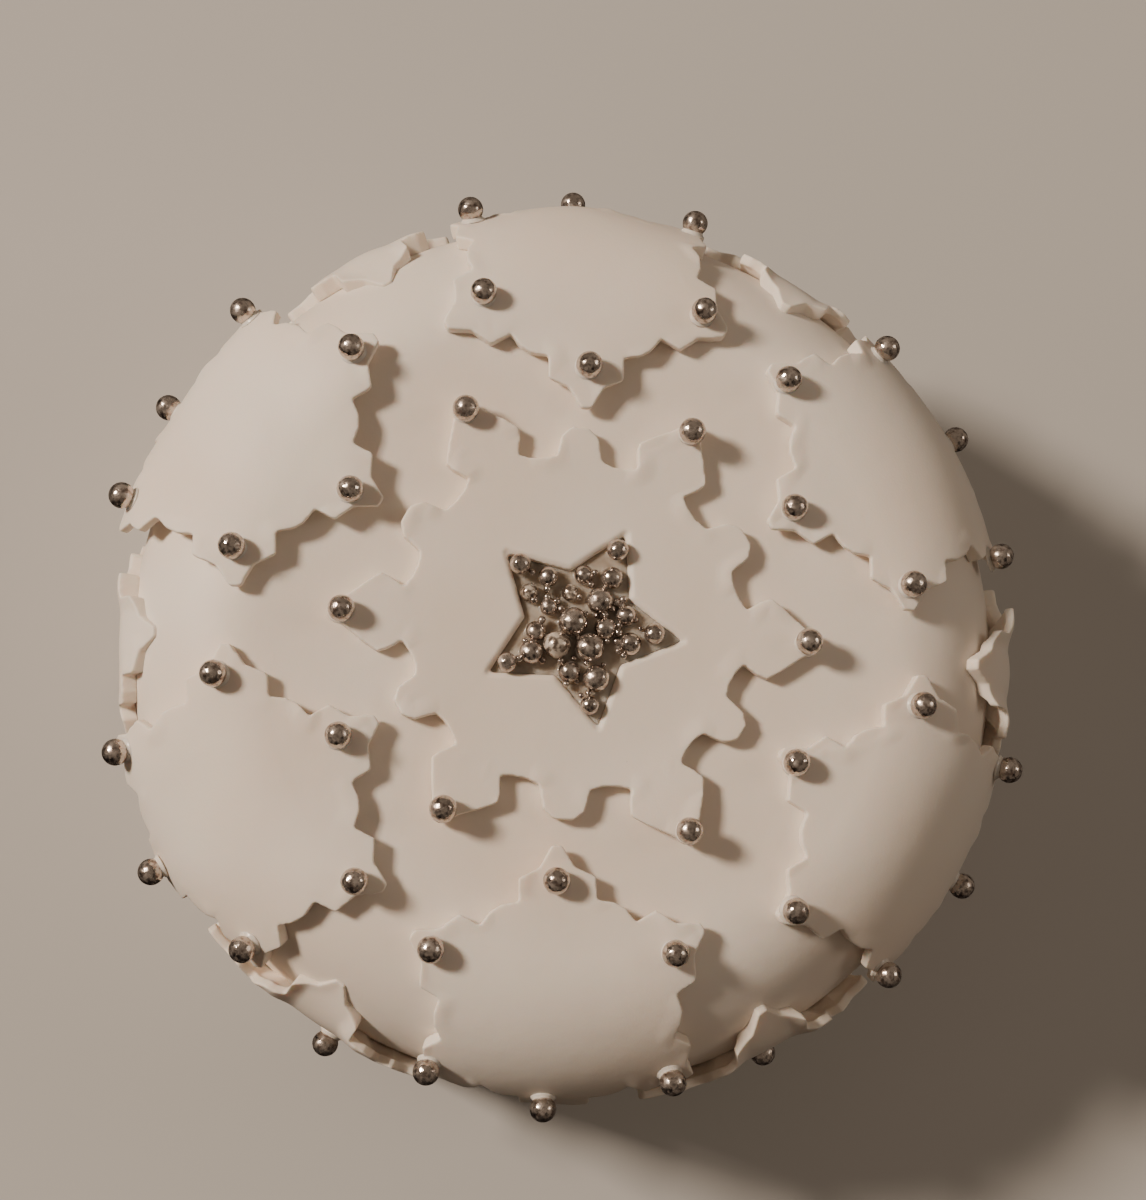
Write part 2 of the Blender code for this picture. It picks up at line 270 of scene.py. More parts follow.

# %% [markdown]
# ## The finishes
#
# Sugar paste is a matt warm white that light sinks into a little, so its shader has a small share of
# subsurface light. Its colour drifts faintly from creamy to pinkish, and a fine bump breaks up its sheen.
# The balls are sugar under silver leaf: a satin metal that mirrors the room softly, hazy in patches where
# the sugar shows through a little, with duller spots where the leaf has tarnished. Three balls in the star
# have lost much of their leaf, so bare sugar shows between what is left. The glaze that fills the star is
# wet, and its dark brown colour is painted shade for the shade in the star's recess and between its balls.
# The dabs of icing that hold the balls are glossier than the paste.

# %% Sugar paste, silver leaf, worn leaf, glaze with painted shade, and crumb
PASTE_LIGHT = (0.86, 0.785, 0.70, 1)
PASTE_WARM = (0.83, 0.73, 0.63, 1)
LEAF_BRIGHT = (0.60, 0.53, 0.475, 1)
LEAF_TARNISHED = (0.26, 0.20, 0.17, 1)
WORN_LEAF = (0.34, 0.27, 0.22, 1)
BARE_SUGAR = (0.68, 0.60, 0.51, 1)
# The two glaze colours are painted shade: clear glaze darkened for the shade in the star and between its
# balls.
PAINTED_SHADE_GLAZE_DEEP = (0.38, 0.31, 0.245, 1)
PAINTED_SHADE_GLAZE_PALE = (0.58, 0.50, 0.415, 1)
CRUMB_BLACK = (0.05, 0.035, 0.025, 1)
CRUMB_BROWN = (0.12, 0.08, 0.05, 1)
PASTE_SPREAD = (0.0030, 0.0020, 0.0013)
GLAZE_SPREAD = (0.0050, 0.0040, 0.0030)
PASTE_RELIEF = 0.12 * MM
LEAF_RELIEF = 0.20 * MM
GLAZE_RELIEF = 0.15 * MM


def sugar_paste(name, roughness):
    paste = Nodes(bpy.data.materials.new(name))
    drift = paste.noise(scale=24, detail=1.0)
    grain = paste.noise(scale=1600, roughness=0.6)
    dents = paste.noise(scale=170)
    return paste.close({
        "Base Color": paste.blend(paste.mask(drift, low=0.35, high=0.68), PASTE_LIGHT, PASTE_WARM),
        "Roughness": roughness + 0.14 * dents,
        "Normal": paste.bump(grain * 0.25 + dents * 0.75, PASTE_RELIEF),
        "Subsurface Weight": 0.3,
        "Subsurface Radius": PASTE_SPREAD,
        "Subsurface Scale": 1.0,
        "IOR": 1.45,
    })


def silver_leaf():
    leaf = Nodes(bpy.data.materials.new("silver"))
    haze = leaf.mask(leaf.noise(scale=520, detail=3.0), low=0.40, high=0.66)
    tarnish = leaf.mask(leaf.noise(scale=760), low=0.50, high=0.68)
    return leaf.close({
        "Base Color": leaf.blend(tarnish, LEAF_BRIGHT, LEAF_TARNISHED),
        "Metallic": 1.0 - 0.15 * haze,
        "Roughness": 0.13 + 0.22 * haze,
        "Normal": leaf.bump(leaf.noise(scale=620), LEAF_RELIEF),
    })


def worn_leaf():
    leaf = Nodes(bpy.data.materials.new("pearl"))
    bare = leaf.mask(leaf.noise(scale=480, detail=3.0), low=0.44, high=0.58)
    return leaf.close({
        "Base Color": leaf.blend(bare, WORN_LEAF, BARE_SUGAR),
        "Metallic": 0.90 - 0.55 * bare,
        "Roughness": 0.16 + 0.16 * bare,
        "Normal": leaf.bump(leaf.noise(scale=620), LEAF_RELIEF),
        "Coat Weight": 0.5,
        "Coat Roughness": 0.08,
    })


# Glaze whose brown colour is painted shade, for the shaded recess of the star and the gaps between its
# balls.
def glaze_with_painted_shade():
    syrup = Nodes(bpy.data.materials.new("glaze"))
    thin = syrup.mask(syrup.noise(scale=260), low=0.35, high=0.65)
    return syrup.close({
        "Base Color": syrup.blend(thin, PAINTED_SHADE_GLAZE_DEEP, PAINTED_SHADE_GLAZE_PALE),
        "Roughness": 0.06 + 0.05 * thin,
        "Normal": syrup.bump(syrup.noise(scale=520, detail=1.0), GLAZE_RELIEF),
        "Subsurface Weight": 0.85,
        "Subsurface Radius": GLAZE_SPREAD,
        "Subsurface Scale": 1.0,
        "IOR": 1.42,
    })


def burnt_crumb():
    lump = Nodes(bpy.data.materials.new("crumb"))
    patch = lump.noise(scale=3000, detail=1.0)
    return lump.close({
        "Base Color": lump.blend(patch, CRUMB_BLACK, CRUMB_BROWN),
        "Roughness": 0.7 + 0.2 * patch,
    })


icing = sugar_paste("icing", roughness=0.46)
flake_paste = sugar_paste("flake_paste", roughness=0.48)
dab_icing = sugar_paste("dab_icing", roughness=0.22)
silver = silver_leaf()
pearl = worn_leaf()
glaze = glaze_with_painted_shade()
crumb = burnt_crumb()
print("finishes:", ", ".join(material.name for material in bpy.data.materials))

# %% [markdown]
# ## The iced cake
#
# The cake could be a cylinder with a bevelled edge. Walking the surface function from the middle of the top
# to the foot gives the same outline with the points closer together, and spinning that line once round
# makes the body. Then the slow waves of hand-rolled paste are added, which fade out at the foot.

# %% Spin the cake
FOOT_ROUND = 1.5 * MM
FOOT_STEPS = 4
WALK_STEP = 2.5 * MM
TURN_STEPS = 240
FOOT_STILL = 2 * MM
FOOT_FREE = 14 * MM

walk_end = FLAT_RADIUS + SHOULDER * QUARTER + CAKE_HEIGHT - SHOULDER - FOOT_ROUND
walk = np.linspace(0.0, walk_end, round(walk_end / WALK_STEP))
radii, heights, _ = over_cake(walk)
line = list(zip(radii, heights))
for step in range(1, FOOT_STEPS + 1):
    angle = QUARTER * step / FOOT_STEPS
    line.append((CAKE_RADIUS - FOOT_ROUND * (1 - math.cos(angle)), FOOT_ROUND * (1 - math.sin(angle))))
line.append((0.0, 0.0))

cake = object_from("cake_icing", spun(line, TURN_STEPS))
spots = vertex_array(cake.data)
outward = np.array([vertex.normal for vertex in cake.data.vertices])
swell = hand_rolled(spots) * smooth_step(spots[:, 2], FOOT_STILL, FOOT_FREE)
set_vertices(cake.data, spots + outward * swell[:, None])
finish_piece(cake, icing, "icing", "cake")
print("the paste swells and dips by", round(np.abs(swell).max() / MM, 2), "mm")

# %% [markdown]
# ## Cutting a snowflake
#
# A snowflake cutter stamps six equal arms. Half an arm is a handful of corners, each given by its angle off
# the arm and its share of the reach. Mirroring and turning them gives the whole outline. The corners are
# rounded with a vertex bevel, and the flat shape is pulled up to the sheet's thickness. Then comes the step
# that makes it paste: a voxel remesh gives even small faces, and two rounds of smoothing soften the cut.

# %% The two cutters
SHEET = 2.8 * MM
GAP = 0.3 * MM
ARMS = 6
LARGE_HALF_ARM = (
    (1.2, 1.058),
    (4.1, 0.98),
    (8.2, 0.912),
    (11.7, 0.855),
    (11.2, 0.81),
    (9.1, 0.745),
    (13.0, 0.72),
    (17.6, 0.71),
    (21.9, 0.72),
    (24.1, 0.812),
    (27.4, 0.85),
)
SMALL_HALF_ARM = (
    (1.7, 1.0),
    (6.9, 0.876),
    (16.0, 0.842),
    (19.1, 0.711),
    (27.0, 0.737),
)
SMALL_REACH = 38.0 * MM
print("a large snowflake has", len(LARGE_HALF_ARM) * 2 * ARMS, "corners and a small one",
      len(SMALL_HALF_ARM) * 2 * ARMS)

# %% Stamp soft sheets out of paste
TUCK_START = 34
TUCK_FULL = 44
TUCK_EASE = 76
TUCK_END = 100
CORNER_ROUND = 0.35 * MM
VOXEL = 0.4 * MM
SOFTENING = 2


def between_arms(values, angle):
    """The value at each angle of what is given arm by arm, eased from each arm to the next."""
    place = np.mod(angle, math.tau) / (math.tau / ARMS)
    arm = np.floor(place).astype(int)
    given = np.array(values, dtype=float)
    own = given[arm % ARMS]
    after = given[(arm + 1) % ARMS]
    return own + (after - own) * smooth_step(place, arm, arm + 1)


def flake_corners(half_arm, reaches, turn, sways=(0,) * ARMS, left_over=(1, 1)):
    """The corners of a snowflake whose arms may differ a little in reach, and sway a few degrees.

    left_over is how much is left of the two arms beside the one at a half turn: first the arm clockwise of
    it, then the one anticlockwise. TUCK_START to TUCK_END are the degrees off that arm where they are cut.
    """
    mirrored = [(-degrees, share) for degrees, share in reversed(half_arm)]
    corners = []
    for arm in range(ARMS):
        for degrees, share in mirrored + list(half_arm):
            angle = arm * math.tau / ARMS + math.radians(degrees)
            apart = abs(math.degrees(angle) - 180)
            covered = smooth_step(apart, TUCK_START, TUCK_FULL) - smooth_step(apart, TUCK_EASE, TUCK_END)
            share *= 1 - float(covered) * (1 - left_over[angle < math.pi])
            length = share * float(between_arms(reaches, angle))
            heading = angle + math.radians(turn + float(between_arms(sways, angle)))
            corners.append((length * math.cos(heading), length * math.sin(heading)))
    return corners


def stamped(name, corners, low, high, rounding):
    """A closed flat shape with rounded corners, from one height to another."""
    bm = bmesh.new()
    verts = [bm.verts.new((x, y, low)) for x, y in corners]
    edges = [bm.edges.new((verts[i - 1], verts[i])) for i in range(len(verts))]
    bmesh.ops.contextual_create(bm, geom=edges)
    bmesh.ops.bevel(bm, geom=bm.verts[:], offset=rounding, offset_type="OFFSET", affect="VERTICES",
                    segments=3, profile=0.5, clamp_overlap=True, material=-1)
    grown = bmesh.ops.extrude_face_region(bm, geom=bm.faces[:])
    upper = [item for item in grown["geom"] if isinstance(item, bmesh.types.BMVert)]
    bmesh.ops.translate(bm, vec=(0, 0, high - low), verts=upper)
    bmesh.ops.recalc_face_normals(bm, faces=bm.faces[:])
    return object_from(name, bm)


def soften(obj, voxel, rounds):
    """Remesh the shape into even small faces, and smooth its edges."""
    remesh = obj.modifiers.new("even faces", "REMESH")
    remesh.mode = "VOXEL"
    remesh.voxel_size = voxel
    apply_modifiers(obj)
    bm = bmesh.new()
    bm.from_mesh(obj.data)
    for _ in range(rounds):
        bmesh.ops.smooth_vert(bm, verts=bm.verts[:], factor=0.5,
                              use_axis_x=True, use_axis_y=True, use_axis_z=True)
    bm.to_mesh(obj.data)
    bm.free()


def edge_distance(points, corners):
    """How far each point of the flat sheet is from the cut edge."""
    flat = points[:, :2]
    nearest = np.full(len(flat), np.inf)
    for start, end in zip(np.array(corners), np.roll(np.array(corners), -1, axis=0)):
        along = end - start
        share = np.clip((flat - start) @ along / (along @ along), 0, 1)
        nearest = np.minimum(nearest, np.linalg.norm(flat - start - share[:, None] * along, axis=1))
    return nearest


def soft_sheet(name, corners):
    """A soft flat sheet, its points, and how far each of them is from the cut edge."""
    sheet = stamped(name + "_paste", corners, 0.0, SHEET, CORNER_ROUND)
    soften(sheet, VOXEL, SOFTENING)
    flat = vertex_array(sheet.data)
    return sheet, flat, edge_distance(flat, corners)


print("sheets are stamped", round(SHEET / MM, 1), "mm thick with faces of", round(VOXEL / MM, 1), "mm")

# %% [markdown]
# ## How a sheet meets the icing
#
# A sheet's underside sinks a little into the icing, so that no light gets under it. Where a tip is lifted,
# the underside comes up with it near the cut edge, and farther in the paste is closed down to the icing.
# The edge of a lifted part is a little thinner, and slight waves run along every cut edge.

# %% The underside and the waves of a sheet
SINK = 0.8 * MM
LOOSE_START = 0.2 * MM
LOOSE_FULL = 1.2 * MM
CLOSED_START = 1.0 * MM
CLOSED_END = 5.5 * MM
THIN_EDGE = 2.2 * MM
THIN_WIDTH = 3 * MM
CURL = 0.5 * MM
CURL_WIDTH = 5 * MM


def sheet_offset(height, lift, gap, edge, closed=0):
    """How far off the icing a point of a sheet is.

    height is the point's height in the sheet, and edge is how far it is from the cut edge. closed is 1 for a
    sheet whose underside meets the icing at the edge too.
    """
    under = 1 - np.clip(height / SHEET, 0, 1)
    loose = smooth_step(lift, LOOSE_START, LOOSE_FULL)
    inside = np.maximum(smooth_step(edge, CLOSED_START, CLOSED_END), closed)
    thinner = (SHEET - THIN_EDGE) * (1 - smooth_step(edge, 0, THIN_WIDTH))
    deeper = (gap + lift + SINK) * inside - thinner
    return gap + lift + height - under * (SINK * (1 - loose) + deeper * loose)


def edge_curl(points, edge, seed):
    """Slight waves, one to two centimetres long, that lift the cut edge here and there."""
    x, y = points[:, 0], points[:, 1]
    wave = np.sin(310 * x + 1.7 * seed) * np.sin(270 * y - 2.3 * seed) + 0.4 * np.sin(430 * (x - y) + seed)
    return CURL * np.clip(wave, 0, 1) * (1 - smooth_step(edge, 0, CURL_WIDTH))


print("sheets sink", round(SINK / MM, 1), "mm in, and their edges wave by", round(CURL / MM, 1), "mm")

# %% [markdown]
# ## The large snowflake and its star
#
# The large snowflake lies flat in the middle of the top. A star is cut out of it, which a Boolean with a
# stamped star does, as the second cutter did on the real sheet. The paste dips slightly round the star,
# where that cutter pressed it. Each arm has its own reach, its own sway off the even sixth, and its own
# lift.

# %% The large snowflake
CENTRE_PLACE = (-1.4 * MM, 2.1 * MM)
CENTRE_TURN = 57.1
CENTRE_REACHES = (52.2, 55.0, 53.1, 52.5, 54.6, 54.5)
CENTRE_SWAYS = (1.2, 0.1, 0.8, -1.5, 1.4, -1.8)
CENTRE_LIFTS = (0.8, 0, 0, 0.8, 1.2, 0.4)
CENTRE_LIFT_START = 30 * MM
CENTRE_LIFT_FULL = 52 * MM
CENTRE_WAVES = 9
STAR_ROUND = 0.6 * MM
STAR_ROUND_WIDTH = 1.3 * MM
STAR_PLACE = (0.3 * MM, 1.3 * MM)
STAR_TIP = 23.7 * MM
STAR_CORNER = 12.9 * MM
STAR_TURN = 63.7
STAR_POINTS = 5
STAR_CUT_ROUND = 0.3 * MM


def star_corners(grow=0.0):
    """The corners of the star, tips and inner corners in turn, moved outward by grow."""
    corners = []
    for index in range(STAR_POINTS * 2):
        angle = math.radians(STAR_TURN) + index * math.pi / STAR_POINTS
        length = (STAR_CORNER if index % 2 else STAR_TIP) + grow
        corners.append((STAR_PLACE[0] + length * math.cos(angle), STAR_PLACE[1] + length * math.sin(angle)))
    return corners


def lay_flat(points, edge=0.0):
    """Carry points of the large snowflake, flat about its own middle, onto the top of the cake."""
    x, y, height = points.T
    lift = between_arms(CENTRE_LIFTS, np.arctan2(y, x) - math.radians(CENTRE_TURN)) * MM
    lift = lift * smooth_step(np.hypot(x, y), CENTRE_LIFT_START, CENTRE_LIFT_FULL)
    lift = lift + edge_curl(points, edge, CENTRE_WAVES)
    across, along = x + CENTRE_PLACE[0], y + CENTRE_PLACE[1]
    spots = np.stack([across, along], axis=-1)
    sunk = STAR_ROUND * (1 - smooth_step(edge_distance(spots, star_corners()), 0, STAR_ROUND_WIDTH))
    offset = sheet_offset(height, lift, GAP, edge) - sunk * height / SHEET
    laid, _ = points_on(np.arctan2(along, across), np.hypot(across, along), offset)
    return laid


centre_reaches = [reach * MM for reach in CENTRE_REACHES]
centre_corners = flake_corners(LARGE_HALF_ARM, centre_reaches, CENTRE_TURN, CENTRE_SWAYS)
centre = stamped("centre_flake_paste", centre_corners, 0.0, SHEET, CORNER_ROUND)
cutter = stamped("star_cutter", star_corners(), -SHEET, 2 * SHEET, STAR_CUT_ROUND)
cutter.data.transform(Matrix.Translation((-CENTRE_PLACE[0], -CENTRE_PLACE[1], 0)))
cut = centre.modifiers.new("star", "BOOLEAN")
cut.operation = "DIFFERENCE"
cut.solver = "EXACT"
cut.object = cutter
apply_modifiers(centre)
bpy.data.objects.remove(cutter, do_unlink=True)
soften(centre, VOXEL, SOFTENING)
flat = vertex_array(centre.data)
set_vertices(centre.data, lay_flat(flat, edge_distance(flat, centre_corners)))
finish_piece(centre, flake_paste, "snowflake_paste", "centre_flake")

# %% [markdown]
# ## Snowflakes over the rim
#
# Six smaller snowflakes lie half on the top and bend down over the shoulder. Each is stamped flat and then
# carried onto the cake point by point, with the same surface walk as the icing. Arms whose tips stand off
# the cake are lifted.
#
# Each row of the table gives a snowflake's name, the bearing of its middle in degrees, how far that middle
# is from the middle of the top in millimetres walked over the surface, its own turn in degrees, and how
# many millimetres each arm's tip is lifted, starting with the outermost arm and going anticlockwise.

# %% Drape the rim snowflakes
RIM_FLAKES = (
    ("rim_flake_1", 88.8, 89.9, 0.7, (2, 0, 0, 1.4, 0.3, 0)),
    ("rim_flake_2", 149.2, 92.0, 2.3, (2, 3, 1, 2, 2, 3)),
    ("rim_flake_3", 208.3, 88.3, 5.2, (1, 0, 1, 1, 0, 2)),
    ("rim_flake_4", 267.1, 87.2, 4.1, (0, 0, 1, 1, 0, 0)),
    ("rim_flake_5", 329.1, 91.9, -0.5, (1, 1, 0, 0, 0, 1)),
    ("rim_flake_6", 29.4, 88.9, -0.3, (0, 0, 0, 1, 1, 0)),
)
RIM_SLACK = 1.5 * MM
LIFT_START = 9 * MM
LIFT_FULL = 30 * MM


def drape(points, bearing, distance, turn, lifts, edge=0.0):
    """Carry points of a flat rim snowflake onto the cake, and give the outward direction there too."""
    x, y, height = points.T
    middle = distance * MM
    lift = between_arms(lifts, np.arctan2(y, x) - math.radians(turn)) * MM
    lift = lift * smooth_step(np.hypot(x, y), LIFT_START, LIFT_FULL) + edge_curl(points, edge, bearing)
    heading = math.radians(bearing) + np.arctan2(y, middle + x)
    return points_on(heading, np.hypot(middle + x, y), sheet_offset(height, lift, GAP, edge), RIM_SLACK)


for name, bearing, distance, turn, lifts in RIM_FLAKES:
    flake, flat, edge = soft_sheet(name, flake_corners(SMALL_HALF_ARM, [SMALL_REACH] * ARMS, turn))
    set_vertices(flake.data, drape(flat, bearing, distance, turn, lifts, edge)[0])
    finish_piece(flake, flake_paste, "snowflake_paste", name)

# %% [markdown]
# ## Snowflakes against the side
#
# Six more stand against the side between the others, each at its own height. Their top arms lean on the
# shoulder, but the stiff paste beside each arm doesn't follow the bend, so those lobes stand free of the
# cake. Two of the sheets meet the icing right up to their edges, and each sheet has a place or two where a
# finger pressed it down or where it lifts. The side arms are cut short where a rim snowflake covers them,
# so no two sheets cross.
#
# Each row of the table gives a snowflake's name, the bearing of its middle in degrees, and how many
# millimetres lower it stands than the highest place. Then come pairs for the clockwise and the
# anticlockwise side: how many millimetres the lobe stands free, and how much is left of the arm. Next is 1
# if the sheet meets the icing at its edge. Last are its bends: millimetres down and aside from its middle,
# reach, and rise.

# %% Stand the side snowflakes
SIDE_FLAKES = (
    ("side_flake_1", 118.0, 2.5, (1.6, 0.8), (0.66, 0.66), 1, ((-40, 1, 19, -2.8), (-17, 0, 17, 1.6))),
    ("side_flake_2", 179.8, 5.5, (1.8, 0.4), (0.66, 0.83), 1, ((-40, 1, 18, -2.6),)),
    ("side_flake_3", 236.2, 4.0, (2.6, 2.2), (0.96, 0.90), 0, ((-38, -3, 20, -3.0),)),
    ("side_flake_4", 296.6, 3.5, (2.4, 3.0), (0.96, 0.86), 0, ((-36, 4, 12, -1.8),)),
    ("side_flake_5", 356.6, 0.5, (3.0, 3.6), (0.78, 0.66), 0, ((-20, 0, 16, 1.6),)),
    ("side_flake_6", 57.8, 2.0, (1.2, 1.0), (0.72, 0.74), 0, ((-40, 3, 14, -1.8),)),
)
SIDE_MIDDLE = 132.5 * MM
SIDE_GAP = 0.5 * MM
STAND_START = 9 * MM
STAND_FULL = 28 * MM
ARM_EDGE = 5 * MM
FREE_EDGE = 12 * MM


def stand(points, bearing, drop, stands, closed, bends, edge=0.0):
    """Carry points of a flat side snowflake onto the side, and give the outward direction there too."""
    x, y, height = points.T
    path = SIDE_MIDDLE + drop * MM + x
    radius, _, _ = over_cake(path)
    free = np.where(y < 0, *stands) * MM
    free = free * smooth_step(-x, STAND_START, STAND_FULL) * smooth_step(np.abs(y), ARM_EDGE, FREE_EDGE)
    for down, aside, reach, rise in bends:
        apart = np.hypot(x - down * MM, y - aside * MM)
        free = free + rise * MM * (1 - smooth_step(apart, 0, reach * MM))
    lift = free + edge_curl(points, edge, bearing)
    offset = sheet_offset(height, lift, SIDE_GAP, edge, closed)
    return points_on(math.radians(bearing) + y / radius, path, offset)


for name, bearing, drop, stands, left_over, closed, bends in SIDE_FLAKES:
    corners = flake_corners(SMALL_HALF_ARM, [SMALL_REACH] * ARMS, 0, left_over=left_over)
    flake, flat, edge = soft_sheet(name, corners)
    set_vertices(flake.data, stand(flat, bearing, drop, stands, closed, bends, edge)[0])
    finish_piece(flake, flake_paste, "snowflake_paste", name)

# %% [markdown]
# ## Silver balls and the dabs that hold them
#
# Each arm of the large snowflake and of the rim snowflakes carries a silver ball, and two side snowflakes
# carry one in the middle. The tables give each rim ball's distance from its snowflake's middle in
# millimetres, and how many degrees it sits off its arm. The functions that carried the sheets onto the cake
# carry the balls' places too, so that each ball stands on its sheet.

# %% Where the balls sit
RIM_BALL_REACHES = (
    (36.0, 32.5, 26.8, 28.2, 31.0, 35.1),
    (35.6, 30.3, 29.4, 30.6, 31.6, 32.7),
    (29.5, 30.6, 31.3, 28.6, 31.3, 32.2),
    (25.0, 31.5, 29.3, 29.9, 32.6, 32.4),
    (31.0, 32.6, 30.8, 33.8, 34.3, 32.1),
    (32.1, 28.8, 32.7, 31.2, 32.3, 34.8),
)
RIM_BALL_SWAYS = (
    (-0.1, -3.2, -3.4, 0.7, 1.0, 1.8),
    (-3.9, -4.1, 0.1, -2.6, -0.6, -0.5),
    (-2.1, 0.0, -2.6, 2.9, 3.5, -0.2),
    (-6.3, -0.9, -2.4, 0.8, 0.6, -6.7),
    (2.2, 3.0, 1.8, 1.1, -1.0, -4.5),
    (-1.9, 2.0, 2.1, -1.2, -0.1, -8.3),
)
SIDE_BALLS = {"side_flake_3": (-4.0, 5.0), "side_flake_4": (5.0, 1.5)}
UP = Vector((0, 0, 1))


def on_arm(arm, turn, reach, sway):
    """A point on top of a flat snowflake, at a reach along one of its arms and a few degrees off it."""
    angle = math.radians(turn + sway) + arm * math.tau / ARMS
    return np.array([[reach * MM * math.cos(angle), reach * MM * math.sin(angle), SHEET]])


balls = []
for arm, (reach, sway) in enumerate(zip(CENTRE_REACHES, CENTRE_SWAYS)):
    spot = lay_flat(on_arm(arm, CENTRE_TURN, reach, sway))[0]
    balls.append((Vector(spot), UP))
rim_rows = zip(RIM_FLAKES, RIM_BALL_REACHES, RIM_BALL_SWAYS)
for (_, bearing, distance, turn, lifts), reaches, sways in rim_rows:
    for arm, (reach, sway) in enumerate(zip(reaches, sways)):
        spot, out = drape(on_arm(arm, turn, reach, sway), bearing, distance, turn, lifts)
        balls.append((Vector(spot[0]), Vector(out[0])))
for name, bearing, drop, stands, _, closed, bends in SIDE_FLAKES:
    if name in SIDE_BALLS:
        down, aside = SIDE_BALLS[name]
        middle = np.array([[down * MM, aside * MM, SHEET]])
        spot, out = stand(middle, bearing, drop, stands, closed, bends)
        balls.append((Vector(spot[0]), Vector(out[0])))
print("balls on snowflakes:", len(balls))

# %% [markdown]
# All the silver balls are one piece, built from one small ball that is copied to each place. Each copy is
# turned a little and very slightly out of round, so that no two catch the light alike. Around the foot of
# each sits a dab of wet icing, a little cup that is spun from its outline and then set square to the sheet.
# One seeded draw gives all these small differences, so they are the same at every run.

# %% Copy a ball and its dab to every place
BALL_RADIUS = 3.1 * MM
BALL_SINK = 0.5 * MM
BALL_FINENESS = 4
BEAD_FINENESS = 3
UNROUND = 0.015
DAB = (
    (3.1, -0.4), (2.95, 0.0), (2.65, 0.2), (2.5, 0.45),
    (2.35, 0.75), (2.05, 0.85), (1.6, 0.7), (1.3, 0.3),
)
DAB_STEPS = 32
DAB_WIDTHS = (0.94, 1.08)
DAB_HEIGHTS = (0.8, 1.15)
DAB_LEAN = 0.1
draw = random.Random(12)


def add_copy(bm, mesh, matrix):
    """Add a transformed copy of a mesh to the bmesh."""
    first = len(bm.verts)
    bm.from_mesh(mesh)
    bm.verts.ensure_lookup_table()
    bmesh.ops.transform(bm, matrix=matrix, verts=bm.verts[first:])


def small_ball(name, subdivisions):
    bm = bmesh.new()
    bmesh.ops.create_icosphere(bm, subdivisions=subdivisions, radius=1.0)
    return mesh_from(name, bm)


def turned(direction):
    """A turn that takes +Z to a direction, with a random spin about it."""
    spin = Matrix.Rotation(draw.uniform(0, math.tau), 4, "Z")
    return direction.to_track_quat("Z", "Y").to_matrix().to_4x4() @ spin


def unround(radius):
    """A ball's size, a little different along each axis."""
    stretch = [radius * draw.uniform(1 - UNROUND, 1 + UNROUND) for _ in range(3)]
    return Matrix.Diagonal((*stretch, 1))


ball_mesh = small_ball("small_ball", BALL_FINENESS)
bead_mesh = small_ball("small_bead", BEAD_FINENESS)
dab_line = [(radius * MM, height * MM) for radius, height in DAB]
dab_mesh = mesh_from("small_dab", spun(dab_line, DAB_STEPS, closed=True))
silver_bm = bmesh.new()
dab_bm = bmesh.new()
for spot, out in balls:
    middle = spot + out * (BALL_RADIUS - BALL_SINK)
    add_copy(silver_bm, ball_mesh, Matrix.Translation(middle) @ turned(out) @ unround(BALL_RADIUS))
    wide = draw.uniform(*DAB_WIDTHS)
    high = draw.uniform(*DAB_HEIGHTS)
    lean = Vector((draw.uniform(-DAB_LEAN, DAB_LEAN) * MM, draw.uniform(-DAB_LEAN, DAB_LEAN) * MM, 0))
    place = Matrix.Translation(spot + lean) @ turned(out) @ Matrix.Diagonal((wide, wide, high, 1))
    add_copy(dab_bm, dab_mesh, place)
print("dabs of icing:", len(balls))

# %% [markdown]
# ## The star full of balls
#
# The star is filled with balls of several sizes in a pool of glaze whose brown is painted shade. The pool is
# a stamped star joined with a low cone round each ball, remeshed into one skin, so that the glaze climbs
# each ball as a liquid does. It stands a little higher at the right, where it almost fills the star's
# points.
#
# The tables are in millimetres from the star's middle. A ball's row gives its place, its radius and its
# rise. The balls without a rise stand on the floor of the star and are moved clear of its walls. The others
# are wedged in its points. Tiny beads lie between them.

# %% What lies in the star
STAR_BALLS = (
    (-7.5, 11.1, 2.35, 0), (0.8, 11.7, 2.25, 0), (7.2, 11.0, 2.6, 0), (4.4, 5.6, 3.1, 0),
    (-7.3, 4.2, 2.1, 0), (10.4, 2.3, 2.4, 0), (-1.8, 0.6, 3.4, 0), (-10.3, -1.5, 2.3, 0),
    (5.6, -0.8, 2.65, 0), (11.4, -4.3, 2.7, 0), (-11.4, -6.5, 2.8, 0), (2.0, -5.4, 3.4, 0),
    (-3.1, -11.1, 2.55, 0), (3.5, -12.4, 3.15, 0), (-14.0, 13.8, 2.45, 1.3), (8.5, 17.4, 2.5, 1.4),
    (17.0, -1.9, 2.45, 0.6), (-16.9, -8.9, 2.3, 0.9), (2.0, -18.6, 2.2, 0.9),
)
WORN_BALLS = ((-12.2, 7.3, 2.1, 0), (-2.4, 7.5, 2.0, 0), (-5.5, -4.7, 3.2, 0))
